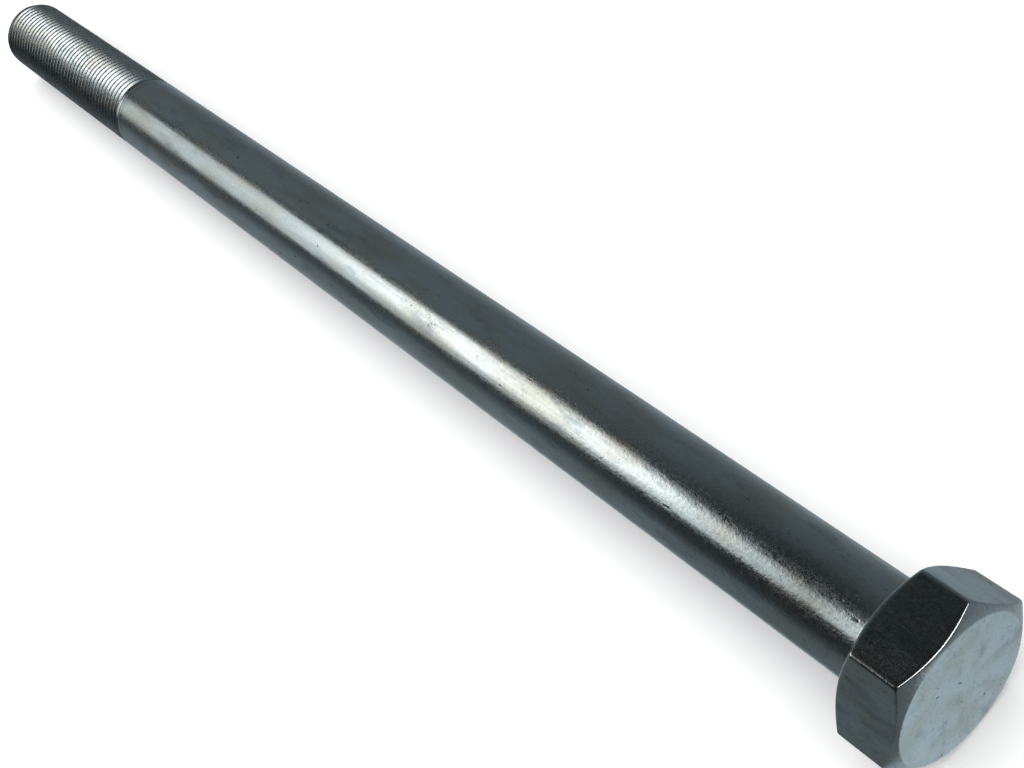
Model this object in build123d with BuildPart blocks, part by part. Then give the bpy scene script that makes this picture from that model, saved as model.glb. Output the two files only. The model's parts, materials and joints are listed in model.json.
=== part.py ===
"""Fender bolt: a long hexagon head bolt, M16 x 1.5, with a plain shank.

One piece of steel, forged, turned and threaded. It lies along +X: the head is at -X, the bearing face
under the head is at x = 0, and the thread runs to the free end. Two flats of the head face up and down.
The thread is held here by its major diameter, and its fine ridges are left to the finish.
"""

import os
from math import cos, radians, tan

from build123d import *

# Shank and thread, in millimetres
length_under_head = 270.0
nominal_diameter = 16.0
shank_allowance = 0.1
thread_allowance = 0.2
thread_length = 62.0
thread_pitch = 1.5
end_chamfer_angle = 45.0

# Head
across_flats = 24.0
head_height = 10.0
head_chamfer_angle = 30.0
head_chamfer_inset = 0.6
corner_radius = 0.7
under_head_fillet = 0.8

# What follows from these
shank_radius = (nominal_diameter - shank_allowance) / 2
thread_radius = (nominal_diameter - thread_allowance) / 2
thread_start = length_under_head - thread_length
end_chamfer_depth = 0.7 * thread_pitch
end_chamfer_length = end_chamfer_depth / tan(radians(end_chamfer_angle))
across_corners = across_flats / cos(radians(30))
face_circle_radius = across_flats / 2 - head_chamfer_inset
head_chamfer_drop = (across_corners / 2 - face_circle_radius) * tan(radians(head_chamfer_angle))
widest_root_fillet = 0.8 * (face_circle_radius - shank_radius)

with BuildPart() as bolt:
    # Hexagon of the head with rounded corners
    with BuildSketch(Plane.YZ):
        RegularPolygon(across_flats / 2, side_count=6, major_radius=False)
    extrude(amount=-head_height)
    fillet(bolt.edges().filter_by(Axis.X), radius=corner_radius)

    # A cone at the top and one at the bearing face chamfer the corners
    with BuildSketch(Plane.XZ):
        with BuildLine():
            Polyline(
                (0, 0),
                (0, face_circle_radius),
                (-head_chamfer_drop, across_corners / 2),
                (head_chamfer_drop - head_height, across_corners / 2),
                (-head_height, face_circle_radius),
                (-head_height, 0),
                close=True,
            )
        make_face()
    revolve(axis=Axis.X, mode=Mode.INTERSECT)

    # Plain shank, blended into the bearing face
    with BuildSketch(Plane.YZ):
        Circle(shank_radius)
    extrude(amount=thread_start)
    edges_on_bearing_face = bolt.edges().filter_by(GeomType.CIRCLE).filter_by_position(Axis.X, 0, 0)
    fillet(
        edges_on_bearing_face.sort_by(SortBy.RADIUS)[0],
        radius=min(under_head_fillet, widest_root_fillet),
    )

    # Threaded end at its major diameter, chamfered to below the thread's root
    with BuildSketch(Plane.YZ.offset(thread_start)):
        Circle(thread_radius)
    extrude(amount=thread_length)
    chamfer(
        bolt.faces().sort_by(Axis.X)[-1].edges(),
        length=end_chamfer_length,
        length2=end_chamfer_depth,
    )

bolt.part.label = "bolt"

os.makedirs("parts", exist_ok=True)
export_step(bolt.part, "parts/bolt.step")
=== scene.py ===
"""Looks of a long zinc-plated fender bolt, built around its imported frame.

The bolt lies along +X, from the top of its hexagon head to the end of its thread. One closed mesh is its
whole skin: the head with its chamfers, the blended shank and the true right-hand helix of the thread.
"""

from __future__ import annotations

import json
import logging
import math
from collections.abc import Callable
from dataclasses import dataclass
from enum import Enum
from typing import Any

import bmesh
import bpy
from mathutils import Matrix, Vector


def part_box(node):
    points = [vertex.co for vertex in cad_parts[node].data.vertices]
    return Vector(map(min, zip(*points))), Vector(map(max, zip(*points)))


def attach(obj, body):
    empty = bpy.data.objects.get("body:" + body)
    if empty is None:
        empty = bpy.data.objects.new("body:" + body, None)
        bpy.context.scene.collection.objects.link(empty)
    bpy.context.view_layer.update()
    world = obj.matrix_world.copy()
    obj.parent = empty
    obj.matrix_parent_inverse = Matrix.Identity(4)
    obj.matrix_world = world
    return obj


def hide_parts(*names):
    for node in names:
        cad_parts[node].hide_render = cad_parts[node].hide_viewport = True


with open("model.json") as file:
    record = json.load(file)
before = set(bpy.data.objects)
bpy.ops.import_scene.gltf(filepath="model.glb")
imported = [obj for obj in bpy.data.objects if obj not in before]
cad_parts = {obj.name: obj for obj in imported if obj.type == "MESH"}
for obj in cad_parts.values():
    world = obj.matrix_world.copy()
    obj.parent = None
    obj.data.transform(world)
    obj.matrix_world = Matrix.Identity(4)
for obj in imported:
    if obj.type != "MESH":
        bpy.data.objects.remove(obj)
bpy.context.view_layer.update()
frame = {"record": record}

LOG = logging.getLogger("fender_bolt")
MM = 0.001
NODE = "bolt"
BODY = "root"

Colour = tuple[float, float, float]
Station = Callable[[float], tuple[float, float]]
Tones = tuple[tuple[float, float], ...]


def between(start: float, end: float, share: float) -> float:
    """Return the value that lies at a share of the way from start to end."""
    return start + (end - start) * share


def smooth_step(value: float) -> float:
    """Return 0 below 0, 1 above 1, and a smooth rise between them."""
    share = min(max(value, 0.0), 1.0)
    return share * share * (3.0 - 2.0 * share)


# Meshes


class Skin:
    """The vertices and faces of a closed surface around the X axis, laid out on spokes."""

    def __init__(self, spokes: list[float]) -> None:
        """Start an empty skin.

        Args:
            spokes: The directions of the columns of vertices, in radians from +Y towards +Z.
        """
        self.spokes = spokes
        self.vertices: list[tuple[float, float, float]] = []
        self.faces: list[tuple[int, ...]] = []
        self.rim: set[int] = set()

    def point(self, x: float, radius: float, spoke: float) -> int:
        """Add one vertex.

        Args:
            x: Its place along the axis, in millimetres.
            radius: Its distance from the axis, in millimetres.
            spoke: Its direction around the axis, in radians.

        Returns:
            The index of the vertex.
        """
        y = radius * math.cos(spoke)
        z = radius * math.sin(spoke)
        self.vertices.append((x * MM, y * MM, z * MM))
        return len(self.vertices) - 1

    def ring(self, station: Station) -> list[int]:
        """Add one vertex on each spoke.

        Args:
            station: Gives the place along the axis and the radius for a spoke.

        Returns:
            The indices of the vertices, in the order of the spokes.
        """
        return [self.point(*station(spoke), spoke) for spoke in self.spokes]

    def bridge(self, first: list[int], second: list[int]) -> None:
        """Join two rings with a band of quads.

        Args:
            first: The ring nearer to the head.
            second: The ring nearer to the thread.
        """
        for here, start in enumerate(first):
            there = (here + 1) % len(first)
            self.faces.append((start, first[there], second[there], second[here]))

    def panel(self, a: int, b: int, c: int, d: int) -> None:
        """Add one quad, cut in two where the rim runs across it from b to d.

        Args:
            a: The first corner.
            b: The second corner.
            c: The third corner.
            d: The fourth corner.
        """
        if b in self.rim and d in self.rim:
            self.faces += [(a, b, d), (b, c, d)]
        else:
            self.faces.append((a, b, c, d))

    def cap(self, ring: list[int], x: float) -> None:
        """Close a ring with triangles around one vertex on the axis.

        Args:
            ring: The ring to close.
            x: The place of that vertex along the axis, in millimetres.
        """
        centre = self.point(x, 0.0, 0.0)
        for here, there in zip(ring, ring[1:] + ring[:1]):
            self.faces.append((centre, there, here))

    def mesh(self, name: str) -> bpy.types.Mesh:
        """Make a smooth mesh with outward faces and a sharp rim.

        Args:
            name: The name of the mesh.

        Returns:
            The mesh, in metres.
        """
        mesh = bpy.data.meshes.new(name)
        mesh.from_pydata(self.vertices, [], self.faces)
        work = bmesh.new()
        work.from_mesh(mesh)
        bmesh.ops.recalc_face_normals(work, faces=work.faces)
        for edge in work.edges:
            edge.smooth = not all(vertex.index in self.rim for vertex in edge.verts)
        for face in work.faces:
            face.smooth = True
        work.to_mesh(mesh)
        work.free()
        return mesh


@dataclass(frozen=True)
class HexHead:
    """The hexagon head, from the middle of its top to the root of the shank. Sizes in millimetres."""

    height: float
    flat_radius: float
    shank_radius: float
    corner_radius: float = 0.7
    chamfer_angle: float = math.radians(30)
    chamfer_inset: float = 0.6
    side_softness: float = 0.25
    face_softness: float = 0.12
    root_fillet: float = 0.8
    arc_steps: int = 6

    @property
    def circle(self) -> float:
        """Radius of the circle where a chamfer meets the top or the bearing face."""
        return self.flat_radius - self.chamfer_inset

    def spokes(self) -> list[float]:
        """Choose the directions of the columns: close together at the six corners, even on the flats.

        Returns:
            The directions in radians, the same in each sixth of a turn.
        """
        corner = (-2.6, -1.6, -1.07, -0.53, 0.0, 0.53, 1.07, 1.6, 2.6)
        columns = 11
        start, end = corner[-1], 60.0 + corner[0]
        flat = [between(start, end, (column + 1) / (columns + 1)) for column in range(columns)]
        return [math.radians(60.0 * side + angle) for side in range(6) for angle in (*corner, *flat)]

    def hexagon(self, spoke: float) -> float:
        """Find the radius of the rounded hexagon in one direction.

        Args:
            spoke: The direction, in radians. A corner lies at zero.

        Returns:
            The distance from the axis to the outline, in millimetres.
        """
        half_side = math.radians(30)
        from_corner = abs((spoke + half_side) % (2 * half_side) - half_side)
        from_flat = half_side - from_corner
        inner = self.flat_radius - self.corner_radius
        if from_flat <= math.atan2(inner * math.tan(half_side), self.flat_radius):
            return self.flat_radius / math.cos(from_flat)
        reach = inner / math.cos(half_side)
        across = reach * math.sin(from_corner)
        return reach * math.cos(from_corner) + math.sqrt(max(self.corner_radius**2 - across**2, 0.0))

    def chamfer(self, spoke: float) -> tuple[float, float]:
        """Find where the top's chamfer meets the side in one direction, as x and radius."""
        radius = self.hexagon(spoke)
        return (radius - self.circle) * math.tan(self.chamfer_angle) - self.height, radius

    def on_cone(self, share: float) -> Station:
        """Place a ring on the top's chamfer.

        Args:
            share: 0 at the top's edge and 1 at the side's edge.

        Returns:
            The station of the ring.
        """
        def station(spoke: float) -> tuple[float, float]:
            """Return x and radius on one spoke."""
            x, radius = self.chamfer(spoke)
            at = between(self.circle + self.face_softness, radius - self.side_softness, share)
            return x - (radius - at) * math.tan(self.chamfer_angle), at
        return station

    def on_soft_edge(self, share: float) -> Station:
        """Place a ring on the small rounding between the top's chamfer and the side.

        Args:
            share: 0 on the chamfer and 1 on the side.

        Returns:
            The station of the ring.
        """
        def station(spoke: float) -> tuple[float, float]:
            """Return x and radius on one spoke."""
            x, radius = self.chamfer(spoke)
            soft = self.side_softness
            start = Vector((x - soft * math.tan(self.chamfer_angle), radius - soft))
            edge = Vector((x, radius))
            end = Vector((x + soft, radius))
            place = start.lerp(edge, share).lerp(edge.lerp(end, share), share)
            return place.x, place.y
        return station

    def on_side(self, share: float) -> Station:
        """Place a ring on the flat sides.

        Args:
            share: 0 at the top's rounding and 1 at the rounding on the bearing side.

        Returns:
            The station of the ring.
        """
        def station(spoke: float) -> tuple[float, float]:
            """Return x and radius on one spoke."""
            x, radius = self.chamfer(spoke)
            start = x + self.side_softness
            return between(start, -self.height - start, share), radius
        return station

    def mirrored(self, station: Station) -> Station:
        """Mirror a ring of the top over to the bearing side.

        Args:
            station: The station of the ring at the top.

        Returns:
            The station of its mirror image.
        """
        def image(spoke: float) -> tuple[float, float]:
            """Return x and radius on one spoke."""
            x, radius = station(spoke)
            return -self.height - x, radius
        return image

    def top_edge(self) -> list[Station]:
        """List the rings from the flat top over its chamfer to the side.

        Returns:
            The stations in order.
        """
        soft = self.face_softness
        turned = [
            (-self.height, self.circle - 2 * soft),
            (-self.height, self.circle - soft),
            (-self.height + 0.3 * soft * math.tan(self.chamfer_angle), self.circle),
        ]
        rings: list[Station] = [lambda _, at=at: at for at in turned]
        rings += [self.on_cone(share) for share in (0.0, 0.5, 1.0)]
        return rings + [self.on_soft_edge(share) for share in (0.25, 0.5, 0.75, 1.0)]

    def stations(self) -> list[Station]:
        """List the rings of the head, from inside its top to the root of the shank.

        Returns:
            The stations in order.
        """
        inside = [(-self.height, self.circle * share) for share in (0.3, 0.6, 0.85)]
        shank, root = self.shank_radius, self.root_fillet
        under = [(0.0, between(self.circle, shank + root, share)) for share in (0.5, 0.9)]
        quarter = [math.radians(90) * step / self.arc_steps for step in range(self.arc_steps + 1)]
        under += [(root * (1 - math.cos(angle)), shank + root * (1 - math.sin(angle))) for angle in quarter]
        edge = self.top_edge()
        rings: list[Station] = [lambda _, at=at: at for at in inside]
        rings += edge
        rings += [self.on_side(share) for share in (0.05, 0.2, 0.4, 0.6, 0.8, 0.95)]
        rings += [self.mirrored(station) for station in reversed(edge)]
        return rings + [lambda _, at=at: at for at in under]


@dataclass(frozen=True)
class Shank:
    """The plain cylinder between the head and the thread. Sizes in millimetres."""

    radius: float
    start: float
    end: float
    rings: int = 24

    def stations(self) -> list[Station]:
        """List the rings along the shank.

        Returns:
            The stations in order, towards the thread.
        """
        places = [between(self.start, self.end, (ring + 1) / self.rings) for ring in range(self.rings)]
        return [lambda _, x=x: (x, self.radius) for x in places]


@dataclass(frozen=True)
class Thread:
    """The right-hand thread, from its run-out on the shank to the chamfered end. Sizes in millimetres."""

    start: float
    end: float
    crest_radius: float
    shank_radius: float
    pitch: float = 1.5
    run_out: float = 2.6
    lead_in: float = 0.4
    end_chamfer: float = 1.05
    closing_rate: float = 0.5
    half_profile: tuple[tuple[float, float], ...] = (
        (0.03, 0.0),
        (0.09, 0.0714),
        (0.185, 0.318),
        (0.28, 0.565),
        (0.375, 0.812),
        (0.44, 0.885),
    )
    root_depth: float = 0.91

    def profile(self) -> list[tuple[float, float]]:
        """Describe one groove: the share of the pitch and the depth below the crest of each row."""
        mirrored = [(1.0 - share, depth) for share, depth in reversed(self.half_profile)]
        return [*self.half_profile, (0.5, self.root_depth), *mirrored]

    def rows(self) -> list[tuple[float, float]]:
        """List the helical rows.

        Returns:
            The place along the axis on the first spoke and the full depth of each row.
        """
        turns = math.ceil((self.end - self.start) / self.pitch) + 2
        profile = self.profile()
        first = self.start - self.lead_in
        return [
            (first + (turn + share) * self.pitch, depth)
            for turn in range(turns)
            for share, depth in profile
        ]

    def surface(self, x: float, depth: float) -> float:
        """Find the radius of the thread at a place before its end.

        Args:
            x: The place along the axis.
            depth: The full depth of the groove on this row.

        Returns:
            The radius, with the groove fading out on the shank and cut by the end's chamfer.
        """
        cut = smooth_step((x - self.start) / self.run_out)
        outside = between(self.shank_radius, self.crest_radius, cut)
        chamfer = self.crest_radius - self.end_chamfer + self.end - x
        return min(outside - depth * cut, chamfer)

    def cover(self, skin: Skin, ring: list[int]) -> None:
        """Add the helical rows, join them to the shank and close the flat end.

        Args:
            skin: The skin to add to.
            ring: The last ring of the shank.
        """
        rows = self.rows()
        rim_radius = self.crest_radius - self.end_chamfer
        grid: list[list[int]] = []
        last_x = rows[0][0]
        for row_x, depth in rows:
            line = []
            for spoke in skin.spokes:
                x = row_x + self.pitch * spoke / math.tau
                past = x - self.end
                if past < 0:
                    line.append(skin.point(x, self.surface(x, depth), spoke))
                elif past < row_x - last_x:
                    line.append(skin.point(self.end, rim_radius, spoke))
                    skin.rim.add(line[-1])
                else:
                    line.append(skin.point(self.end, rim_radius * math.exp(-self.closing_rate * past), spoke))
            grid.append(line)
            last_x = row_x
        turn = len(self.profile())
        columns = len(skin.spokes)
        for low, high in zip(grid, grid[1:]):
            for here in range(columns - 1):
                skin.panel(low[here], low[here + 1], high[here + 1], high[here])
        for row in range(len(grid) - turn - 1):
            after = row + turn
            skin.panel(grid[row][-1], grid[after][0], grid[after + 1][0], grid[row + 1][-1])
        for here in range(columns - 1):
            skin.faces.append((ring[here], ring[here + 1], grid[0][here + 1], grid[0][here]))
        step_up = [line[0] for line in grid[:turn + 1]]
        skin.faces.append((ring[-1], ring[0], *step_up, grid[0][-1]))
        step_down = [line[-1] for line in reversed(grid[-turn - 1:-1])]
        skin.faces.append((*grid[-1], *step_down))


# Materials


class Number:
    """A number that changes over a surface, for sums written as Python expressions."""

    def __init__(self, graph: Graph, socket: bpy.types.NodeSocket) -> None:
        """Wrap a socket of a graph's node."""
        self.graph = graph
        self.socket = socket

    def joined(self, operation: str, other: Any, reflected: bool = False) -> Number:
        """Add one Math node.

        Args:
            operation: The node's operation.
            other: The value to join this one with.
            reflected: Whether the other value comes first.

        Returns:
            The result.
        """
        first, second = (other, self) if reflected else (self, other)
        node = self.graph.node("ShaderNodeMath", {"operation": operation}, {0: first, 1: second})
        return Number(self.graph, node.outputs[0])

    def __add__(self, other: Any) -> Number:
        """Return self + other."""
        return self.joined("ADD", other)

    __radd__ = __add__

    def __sub__(self, other: Any) -> Number:
        """Return self - other."""
        return self.joined("SUBTRACT", other)

    def __rsub__(self, other: Any) -> Number:
        """Return other - self."""
        return self.joined("SUBTRACT", other, reflected=True)

    def __mul__(self, other: Any) -> Number:
        """Return self * other."""
        return self.joined("MULTIPLY", other)

    def rise(self, low: float, high: float) -> Number:
        """Turn the number into a smooth mask.

        Args:
            low: The value where the mask starts.
            high: The value where the mask ends at 1. Below low, it gives a falling mask.

        Returns:
            The mask, from 0 to 1.
        """
        if low > high:
            return 1.0 - self.rise(high, low)
        node = self.graph.node(
            "ShaderNodeMapRange",
            {"interpolation_type": "SMOOTHSTEP"},
            {"Value": self, "From Min": low, "From Max": high},
        )
        return Number(self.graph, node.outputs["Result"])


class Graph:
    """A tree of shader nodes."""

    def __init__(self, tree: bpy.types.NodeTree) -> None:
        """Start on an empty tree."""
        self.tree = tree

    def node(
        self,
        kind: str,
        settings: dict[str, Any] | None = None,
        inputs: dict[int | str, Any] | None = None,
    ) -> bpy.types.Node:
        """Add one node.

        Args:
            kind: The node's type.
            settings: Its own settings, which are set first.
            inputs: The values or links of its sockets, by name or number.

        Returns:
            The node.
        """
        node = self.tree.nodes.new(kind)
        for name, value in (settings or {}).items():
            if name == "stops":
                self.set_stops(node.color_ramp.elements, value)
            else:
                setattr(node, name, value)
        for name, value in (inputs or {}).items():
            source = value.socket if isinstance(value, Number) else value
            if isinstance(source, bpy.types.NodeSocket):
                self.tree.links.new(source, node.inputs[name])
            else:
                node.inputs[name].default_value = source
        return node

    def blend(self, share: Any, first: Any, second: Any) -> bpy.types.NodeSocket:
        """Mix two colours.

        Args:
            share: How much of the second colour shows.
            first: The first colour, or its socket.
            second: The second colour, or its socket.

        Returns:
            The socket of the mixed colour.
        """
        colours = [(*value, 1.0) if isinstance(value, tuple) else value for value in (first, second)]
        node = self.node("ShaderNodeMix", {"data_type": "RGBA"}, {0: share, 6: colours[0], 7: colours[1]})
        return node.outputs[2]

    @staticmethod
    def set_stops(elements: bpy.types.ColorRampElements, stops: list[tuple[float, Colour]]) -> None:
        """Give a ramp its stops.

        Args:
            elements: The ramp's elements, of which two are there from the start.
            stops: The position and the colour of each stop, in order.
        """
        for _ in stops[2:]:
            elements.new(1.0)
        for element, (position, colour) in zip(elements, stops):
            element.position = position
            element.color = (*colour, 1.0)


class Coat(Graph):
    """The nodes of one material, with what its finish reads and feeds."""

    def __init__(self, name: str) -> None:
        """Start a material with a bare surface shader.

        Args:
            name: The name of the material.
        """
        self.material = bpy.data.materials.new(name)
        self.material.use_nodes = True
        self.material.node_tree.nodes.clear()
        super().__init__(self.material.node_tree)
        self.surface = self.node("ShaderNodeBsdfPrincipled")
        self.node("ShaderNodeOutputMaterial", {}, {"Surface": self.surface.outputs["BSDF"]})
        self.place = self.node("ShaderNodeTexCoord").outputs["Object"]

    def axes(self) -> tuple[Number, Number]:
        """Read the place along the axis and the distance from it, both in millimetres.

        Returns:
            The two numbers.
        """
        scale = self.node("ShaderNodeVectorMath", {"operation": "SCALE"}, {0: self.place, "Scale": 1 / MM})
        parts = self.node("ShaderNodeSeparateXYZ", {}, {0: scale.outputs[0]})
        across = self.node("ShaderNodeCombineXYZ", {}, {"Y": parts.outputs["Y"], "Z": parts.outputs["Z"]})
        length = self.node("ShaderNodeVectorMath", {"operation": "LENGTH"}, {0: across.outputs[0]})
        return Number(self, parts.outputs["X"]), Number(self, length.outputs["Value"])

    def noise(self, along: float, across: float, detail: float = 2.0, rough: float = 0.5) -> Number:
        """Add noise whose spots have a length along the bolt and a width across it.

        Args:
            along: The length of a spot, in millimetres.
            across: The width of a spot, in millimetres.
            detail: How many finer layers it has.
            rough: How strong the finer layers are.

        Returns:
            The noise, about 0.5 in the mean.
        """
        size = (1 / (along * MM), 1 / (across * MM), 1 / (across * MM))
        spread = self.node("ShaderNodeVectorMath", {"operation": "MULTIPLY"}, {0: self.place, 1: size})
        node = self.node(
            "ShaderNodeTexNoise",
            {"noise_dimensions": "3D"},
            {"Vector": spread.outputs[0], "Scale": 1.0, "Detail": detail, "Roughness": rough},
        )
        return Number(self, node.outputs["Fac"])

    def bump(self, height: Number, depth: float) -> bpy.types.NodeSocket:
        """Turn a height into a bumped normal.

        Args:
            height: The height, from 0 to 1.
            depth: The height's full range, in millimetres.

        Returns:
            The socket of the normal.
        """
        node = self.node("ShaderNodeBump", {}, {"Strength": 1.0, "Distance": depth * MM, "Height": height})
        return node.outputs["Normal"]


@dataclass(frozen=True)
class ZincPlate:
    """Bright zinc plate over drawn and forged steel, a little stained and pitted. Sizes in millimetres."""

    bright: Colour = (0.62, 0.66, 0.66)
    cloudy: Colour = (0.56, 0.54, 0.47)
    dull: Colour = (0.36, 0.41, 0.44)
    pit: Colour = (0.07, 0.075, 0.07)
    # Colour of the painted shade in the thread's grooves and in the dark line just before the thread
    groove: Colour = (0.30, 0.34, 0.36)
    roughness: float = 0.19
    anisotropy: float = 0.2
    bump_depth: float = 0.015
    forged_from: float = 10.0
    forged_to: float = 120.0
    # Where the painted shade of a dark groove line lies on the plain shank, before the thread's start, in
    # millimetres
    shade_line_start: float = 1.3
    shade_line_end: float = 0.2
    shade_line_rise: float = 0.4
    shade_line_fall: float = 0.5
    thread_rise: float = 2.0

    def material(self, thread: Thread) -> bpy.types.Material:
        """Build the nodes of the finish.

        Args:
            thread: The thread, whose grooves get painted shade (a darker base colour) and a slightly rougher
                plate.

        Returns:
            The material.
        """
        graph = Coat("zinc_plate")
        x, radius = graph.axes()
        forged = x.rise(self.forged_to, self.forged_from)
        clouds = graph.noise(along=14.0, across=4.0, detail=3.0).rise(0.38, 0.66)
        stains = graph.noise(along=9.0, across=3.0, detail=4.0, rough=0.6).rise(0.52, 0.70)
        drawn = graph.noise(along=9.0, across=0.35, detail=3.0, rough=0.6)
        grain = graph.noise(along=0.7, across=0.5, detail=2.0, rough=0.65)
        sparks = graph.noise(along=0.75, across=0.6, detail=1.0).rise(0.62, 0.72)
        pits = graph.noise(along=1.8, across=1.2, detail=3.0, rough=0.6).rise(0.66, 0.78)
        start = thread.start
        # Painted shade: a thin dark line on the plain shank just before the thread, standing in for a groove
        ring = x.rise(start - self.shade_line_start, start - self.shade_line_start + self.shade_line_rise)
        ring = ring * x.rise(start - self.shade_line_end, start - self.shade_line_end - self.shade_line_fall)
        streaks = graph.noise(along=5.0, across=1.4, detail=3.0, rough=0.6).rise(0.45, 0.68)
        on_thread = x.rise(start, start + self.thread_rise)
        crest = thread.crest_radius
        in_groove = on_thread * radius.rise(crest - 0.1, crest - thread.root_depth)

        colour = graph.blend(clouds * 0.85, self.bright, self.cloudy)
        colour = graph.blend(stains * 0.6, colour, self.dull)
        colour = graph.blend(drawn.rise(0.45, 0.75) * 0.3, colour, self.dull)
        colour = graph.blend(sparks * forged * 0.65, colour, self.dull)
        colour = graph.blend(streaks * on_thread * 0.7, colour, self.dull)
        # Painted shade: the thread's grooves are darkened towards the groove colour
        colour = graph.blend(in_groove * 0.55, colour, self.groove)
        # Painted shade: the thin dark line before the thread
        colour = graph.blend(ring * 0.6, colour, self.groove)
        colour = graph.blend(pits * 0.9, colour, self.pit)

        rough = self.roughness + (drawn - 0.5) * 0.16 + (grain - 0.5) * 0.24
        rough = rough + clouds * 0.05 + stains * 0.06 + pits * 0.3 + on_thread * 0.07 + in_groove * 0.05

        height = drawn * (1.0 - on_thread) * 0.25 + grain * (0.45 + forged) - pits * 1.2
        surface = graph.surface
        graph.tree.links.new(colour, surface.inputs["Base Color"])
        graph.tree.links.new(rough.socket, surface.inputs["Roughness"])
        graph.tree.links.new(graph.bump(height, self.bump_depth), surface.inputs["Normal"])
        surface.inputs["Metallic"].default_value = 1.0
        surface.inputs["Anisotropic"].default_value = self.anisotropy
        return graph.material


@dataclass(frozen=True)
class StudioPaper:
    """Matt white paper with a faint tooth."""

    colour: Colour = (0.93, 0.93, 0.93)
    shade: Colour = (0.90, 0.90, 0.905)
    roughness: float = 0.9

    def material(self) -> bpy.types.Material:
        """Build the nodes of the paper."""
        graph = Coat("studio_paper")
        tooth = graph.noise(along=40.0, across=40.0, detail=3.0)
        graph.tree.links.new(graph.blend(tooth, self.colour, self.shade), graph.surface.inputs["Base Color"])
        graph.surface.inputs["Roughness"].default_value = self.roughness
        graph.surface.inputs["Specular IOR Level"].default_value = 0.1
        return graph.material


# The bolt and its studio


@dataclass(frozen=True)
class FenderBolt:
    """The whole bolt: one forged, turned and threaded piece."""

    head: HexHead
    shank: Shank
    thread: Thread
    finish: ZincPlate

    @classmethod
    def from_frame(cls, record: dict[str, Any]) -> FenderBolt:
        """Size the bolt from the frame's box and its mounts.

        Args:
            record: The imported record.

        Returns:
            The bolt.
        """
        low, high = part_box(NODE)
        sizes = {mount["name"]: mount["dims"] for mount in record["mounts"]}
        shank_radius = sizes["shank"]["r_mm"]
        end = high.x / MM
        thread = Thread(
            start=end - sizes["thread"]["length_mm"],
            end=end,
            crest_radius=sizes["thread"]["r_mm"],
            shank_radius=shank_radius,
        )
        head = HexHead(height=-low.x / MM, flat_radius=high.z / MM, shank_radius=shank_radius)
        shank = Shank(radius=shank_radius, start=head.root_fillet, end=thread.start - 2 * thread.lead_in)
        return cls(head, shank, thread, ZincPlate())

    def build(self) -> bpy.types.Object:
        """Build the closed skin of the bolt.

        Returns:
            The piece.
        """
        skin = Skin(self.head.spokes())
        rings = [skin.ring(station) for station in (*self.head.stations(), *self.shank.stations())]
        skin.cap(rings[0], -self.head.height)
        for first, second in zip(rings, rings[1:]):
            skin.bridge(first, second)
        self.thread.cover(skin, rings[-1])
        piece = bpy.data.objects.new("bolt_body", skin.mesh("bolt_body"))
        bpy.context.scene.collection.objects.link(piece)
        return piece

    def dress(self, piece: bpy.types.Object) -> None:
        """Plate the piece and tie it to the frame.

        Args:
            piece: The piece that build made.
        """
        piece.data.materials.append(self.finish.material(self.thread))
        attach(piece, BODY)
        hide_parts(NODE)


class Seen(Enum):
    """Where a lamp shows: mirrored in the metal, or only on the matt paper."""

    MIRRORED = "mirrored"
    MATT = "matt"


@dataclass(frozen=True)
class SoftBox:
    """A soft oval lamp that faces a point on the bolt. Sizes in metres, brightness as radiance."""

    name: str
    aim: Colour
    place: Colour
    length: float
    width: float
    brightness: float
    colour: Colour
    seen: Seen = Seen.MIRRORED

    def build(self) -> bpy.types.Object:
        """Hang the lamp.

        Returns:
            The lamp.
        """
        light = bpy.data.lights.new(self.name, "AREA")
        light.shape = "ELLIPSE"
        light.size = self.length
        light.size_y = self.width
        light.energy = self.brightness * math.pi * self.length * self.width * math.pi / 4
        light.color = self.colour
        lamp = bpy.data.objects.new(self.name, light)
        outward = (Vector(self.place) - Vector(self.aim)).normalized()
        level = Vector((0.0, 1.0, 0.0)) if abs(outward.x) > 0.5 else Vector((1.0, 0.0, 0.0))
        long_side = (level - outward * level.dot(outward)).normalized()
        turn = Matrix((long_side, outward.cross(long_side), outward)).transposed()
        lamp.matrix_world = Matrix.Translation(self.place) @ turn.to_4x4()
        lamp.visible_camera = False
        lamp.visible_glossy = self.seen is Seen.MIRRORED
        lamp.visible_diffuse = self.seen is Seen.MATT
        bpy.context.scene.collection.objects.link(lamp)
        return lamp


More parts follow.
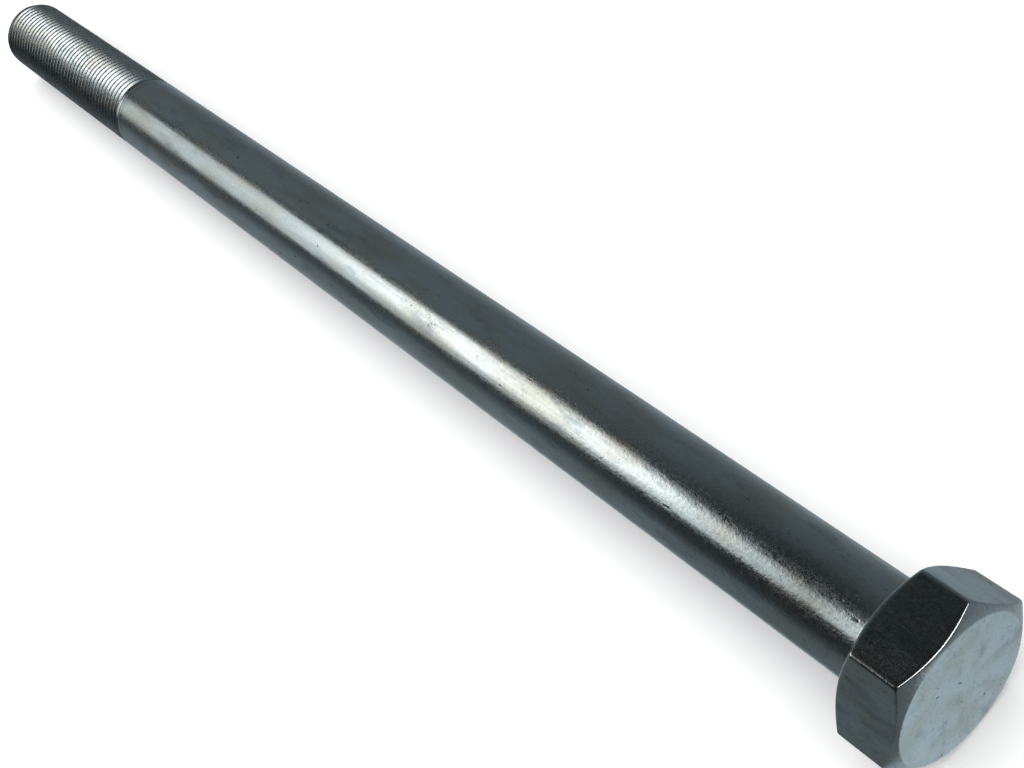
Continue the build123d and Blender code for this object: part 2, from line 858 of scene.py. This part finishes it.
@dataclass(frozen=True)
class Surroundings:
    """The dim room that the bolt mirrors, and the pale backdrop behind it, which also lights the paper.

    The tones go round the bolt, in degrees from +Y over the top to -Y and on below it: a pale floor, a grey
    wall, and a dark flag on each side of the lamps. One set is near the head and one far beyond the thread.
    """

    tint: Colour = (0.80, 0.98, 1.08)
    backdrop: Colour = (0.93, 0.93, 0.93)
    near: Tones = (
        (-180.0, 0.13),
        (-150.0, 0.22),
        (-115.0, 0.40),
        (-98.0, 0.60),
        (-85.0, 0.58),
        (-70.0, 0.14),
        (-45.0, 0.15),
        (-19.0, 0.14),
        (1.0, 0.03),
        (25.0, 0.015),
        (101.0, 0.015),
        (118.0, 0.05),
        (134.0, 0.08),
        (180.0, 0.13),
    )
    far: Tones = (
        (-180.0, 0.13),
        (-150.0, 0.22),
        (-115.0, 0.42),
        (-98.0, 0.62),
        (-85.0, 0.60),
        (-70.0, 0.25),
        (-45.0, 0.23),
        (-19.0, 0.20),
        (1.0, 0.09),
        (25.0, 0.04),
        (88.0, 0.06),
        (102.0, 0.15),
        (134.0, 0.14),
        (180.0, 0.13),
    )

    def ramp(self, graph: Graph, turn: Number, tones: Tones) -> bpy.types.NodeSocket:
        """Spread tones around the bolt.

        Args:
            graph: The world's graph.
            turn: The direction around the bolt, from 0 to 1.
            tones: The tones and their directions in degrees.

        Returns:
            The socket of the colour.
        """
        stops = []
        for degrees, tone in tones:
            stops.append(((degrees + 180.0) / 360.0, tuple(tone * part for part in self.tint)))
        return graph.node("ShaderNodeValToRGB", {"stops": stops}, {"Fac": turn}).outputs["Color"]

    def build(self) -> None:
        """Set the world's nodes."""
        world = bpy.data.worlds.new("surroundings")
        world.use_nodes = True
        world.node_tree.nodes.clear()
        graph = Graph(world.node_tree)
        way = graph.node("ShaderNodeTexCoord").outputs["Generated"]
        parts = graph.node("ShaderNodeSeparateXYZ", {}, {0: way})
        angle = Number(graph, parts.outputs["Z"]).joined("ARCTAN2", Number(graph, parts.outputs["Y"]))
        turn = angle * (0.5 / math.pi) + 0.5
        beyond = Number(graph, parts.outputs["X"]).rise(0.42, 0.75)
        tones = graph.blend(beyond, self.ramp(graph, turn, self.near), self.ramp(graph, turn, self.far))
        room = graph.node("ShaderNodeBackground", {}, {"Color": tones})
        pale = graph.node("ShaderNodeBackground", {}, {"Color": (*self.backdrop, 1.0)})
        rays = graph.node("ShaderNodeLightPath").outputs
        seen_pale = Number(graph, rays["Is Camera Ray"]) + Number(graph, rays["Is Diffuse Ray"])
        choice = graph.node("ShaderNodeMixShader", {}, {0: seen_pale, 1: room.outputs[0], 2: pale.outputs[0]})
        graph.node("ShaderNodeOutputWorld", {}, {"Surface": choice.outputs[0]})
        bpy.context.scene.world = world


@dataclass(frozen=True)
class Floor:
    """The paper that the bolt lies on, touching the edge of its head and the end of its thread."""

    half_width: float = 4.0
    gap: float = 0.00002

    def build(self, bolt: FenderBolt) -> bpy.types.Object:
        """Lay the paper.

        Args:
            bolt: The bolt that lies on it.

        Returns:
            The floor.
        """
        head, thread = bolt.head, bolt.thread
        head_x = -(head.chamfer_inset * math.tan(head.chamfer_angle) + head.side_softness) * MM
        tip_x = (thread.end - thread.end_chamfer) * MM
        slope = (head.flat_radius - thread.crest_radius) * MM / (tip_x - head_x)
        corners = []
        for x, y in ((-1, -1), (1, -1), (1, 1), (-1, 1)):
            x, y = x * self.half_width, y * self.half_width
            corners.append((x, y, -head.flat_radius * MM + (x - head_x) * slope - self.gap))
        mesh = bpy.data.meshes.new("paper_floor")
        mesh.from_pydata(corners, [], [(0, 1, 2, 3)])
        mesh.materials.append(StudioPaper().material())
        floor = bpy.data.objects.new("paper_floor", mesh)
        floor.visible_glossy = False
        bpy.context.scene.collection.objects.link(floor)
        return floor


@dataclass(frozen=True)
class Camera:
    """The camera, above and in front of the head. Places in metres, lens in millimetres."""

    place: Colour = (-0.08060, 0.03615, 0.17984)
    forward: Colour = (0.65547, -0.14189, -0.74177)
    up: Colour = (0.44057, -0.72591, 0.52816)
    lens: float = 52.81
    sensor: float = 36.0

    def build(self) -> None:
        """Set up the camera and make it the scene's own."""
        data = bpy.data.cameras.new("camera")
        data.lens = self.lens
        data.sensor_width = self.sensor
        data.clip_start = 0.01
        camera = bpy.data.objects.new("camera", data)
        back = -Vector(self.forward).normalized()
        right = Vector(self.up).cross(back).normalized()
        turn = Matrix((right, back.cross(right), back)).transposed()
        camera.matrix_world = Matrix.Translation(self.place) @ turn.to_4x4()
        bpy.context.scene.collection.objects.link(camera)
        bpy.context.scene.camera = camera


def round_the_bolt(x: float, degrees: float, distance: float) -> tuple[float, float, float]:
    """Return the point at a distance from the bolt's axis, in a direction given from +Y towards +Z."""
    angle = math.radians(degrees)
    return x, distance * math.cos(angle), distance * math.sin(angle)


LAMPS = (
    SoftBox(
        name="key_box",
        aim=(0.92, 0.0, 0.0),
        place=round_the_bolt(0.92, degrees=52.5, distance=0.60),
        length=1.30,
        width=0.64,
        brightness=0.74,
        colour=(0.92, 1.0, 1.02),
    ),
    SoftBox(
        name="key_core",
        aim=(0.63, 0.0, 0.0),
        place=round_the_bolt(0.63, degrees=62.0, distance=0.62),
        length=0.42,
        width=0.54,
        brightness=1.05,
        colour=(1.0, 1.0, 0.97),
    ),
    SoftBox(
        name="rear_box",
        aim=(0.24, 0.0, 0.0),
        place=(-0.77, -0.20, 0.66),
        length=0.95,
        width=0.45,
        brightness=3.3,
        colour=(0.97, 1.0, 1.0),
    ),
    SoftBox(
        name="paper_fill",
        aim=(0.15, 0.0, 0.0),
        place=(0.15, 0.0, 2.0),
        length=3.4,
        width=3.4,
        brightness=1.2,
        colour=(1.0, 1.0, 1.0),
        seen=Seen.MATT,
    ),
)


def main() -> None:
    """Build the studio and the bolt, in order."""
    bpy.context.scene.view_settings.view_transform = "Standard"
    Camera().build()
    Surroundings().build()
    for box in LAMPS:
        box.build()
        LOG.info("%s: hung", box.name)
    bolt = FenderBolt.from_frame(frame["record"])
    piece = bolt.build()
    bolt.dress(piece)
    LOG.info("%s: %d vertices, %d faces", piece.name, len(piece.data.vertices), len(piece.data.polygons))
    floor = Floor().build(bolt)
    LOG.info("%s: laid", floor.name)


if __name__ == "__main__":
    logging.basicConfig(level=logging.INFO, format="%(name)s: %(message)s")
    main()
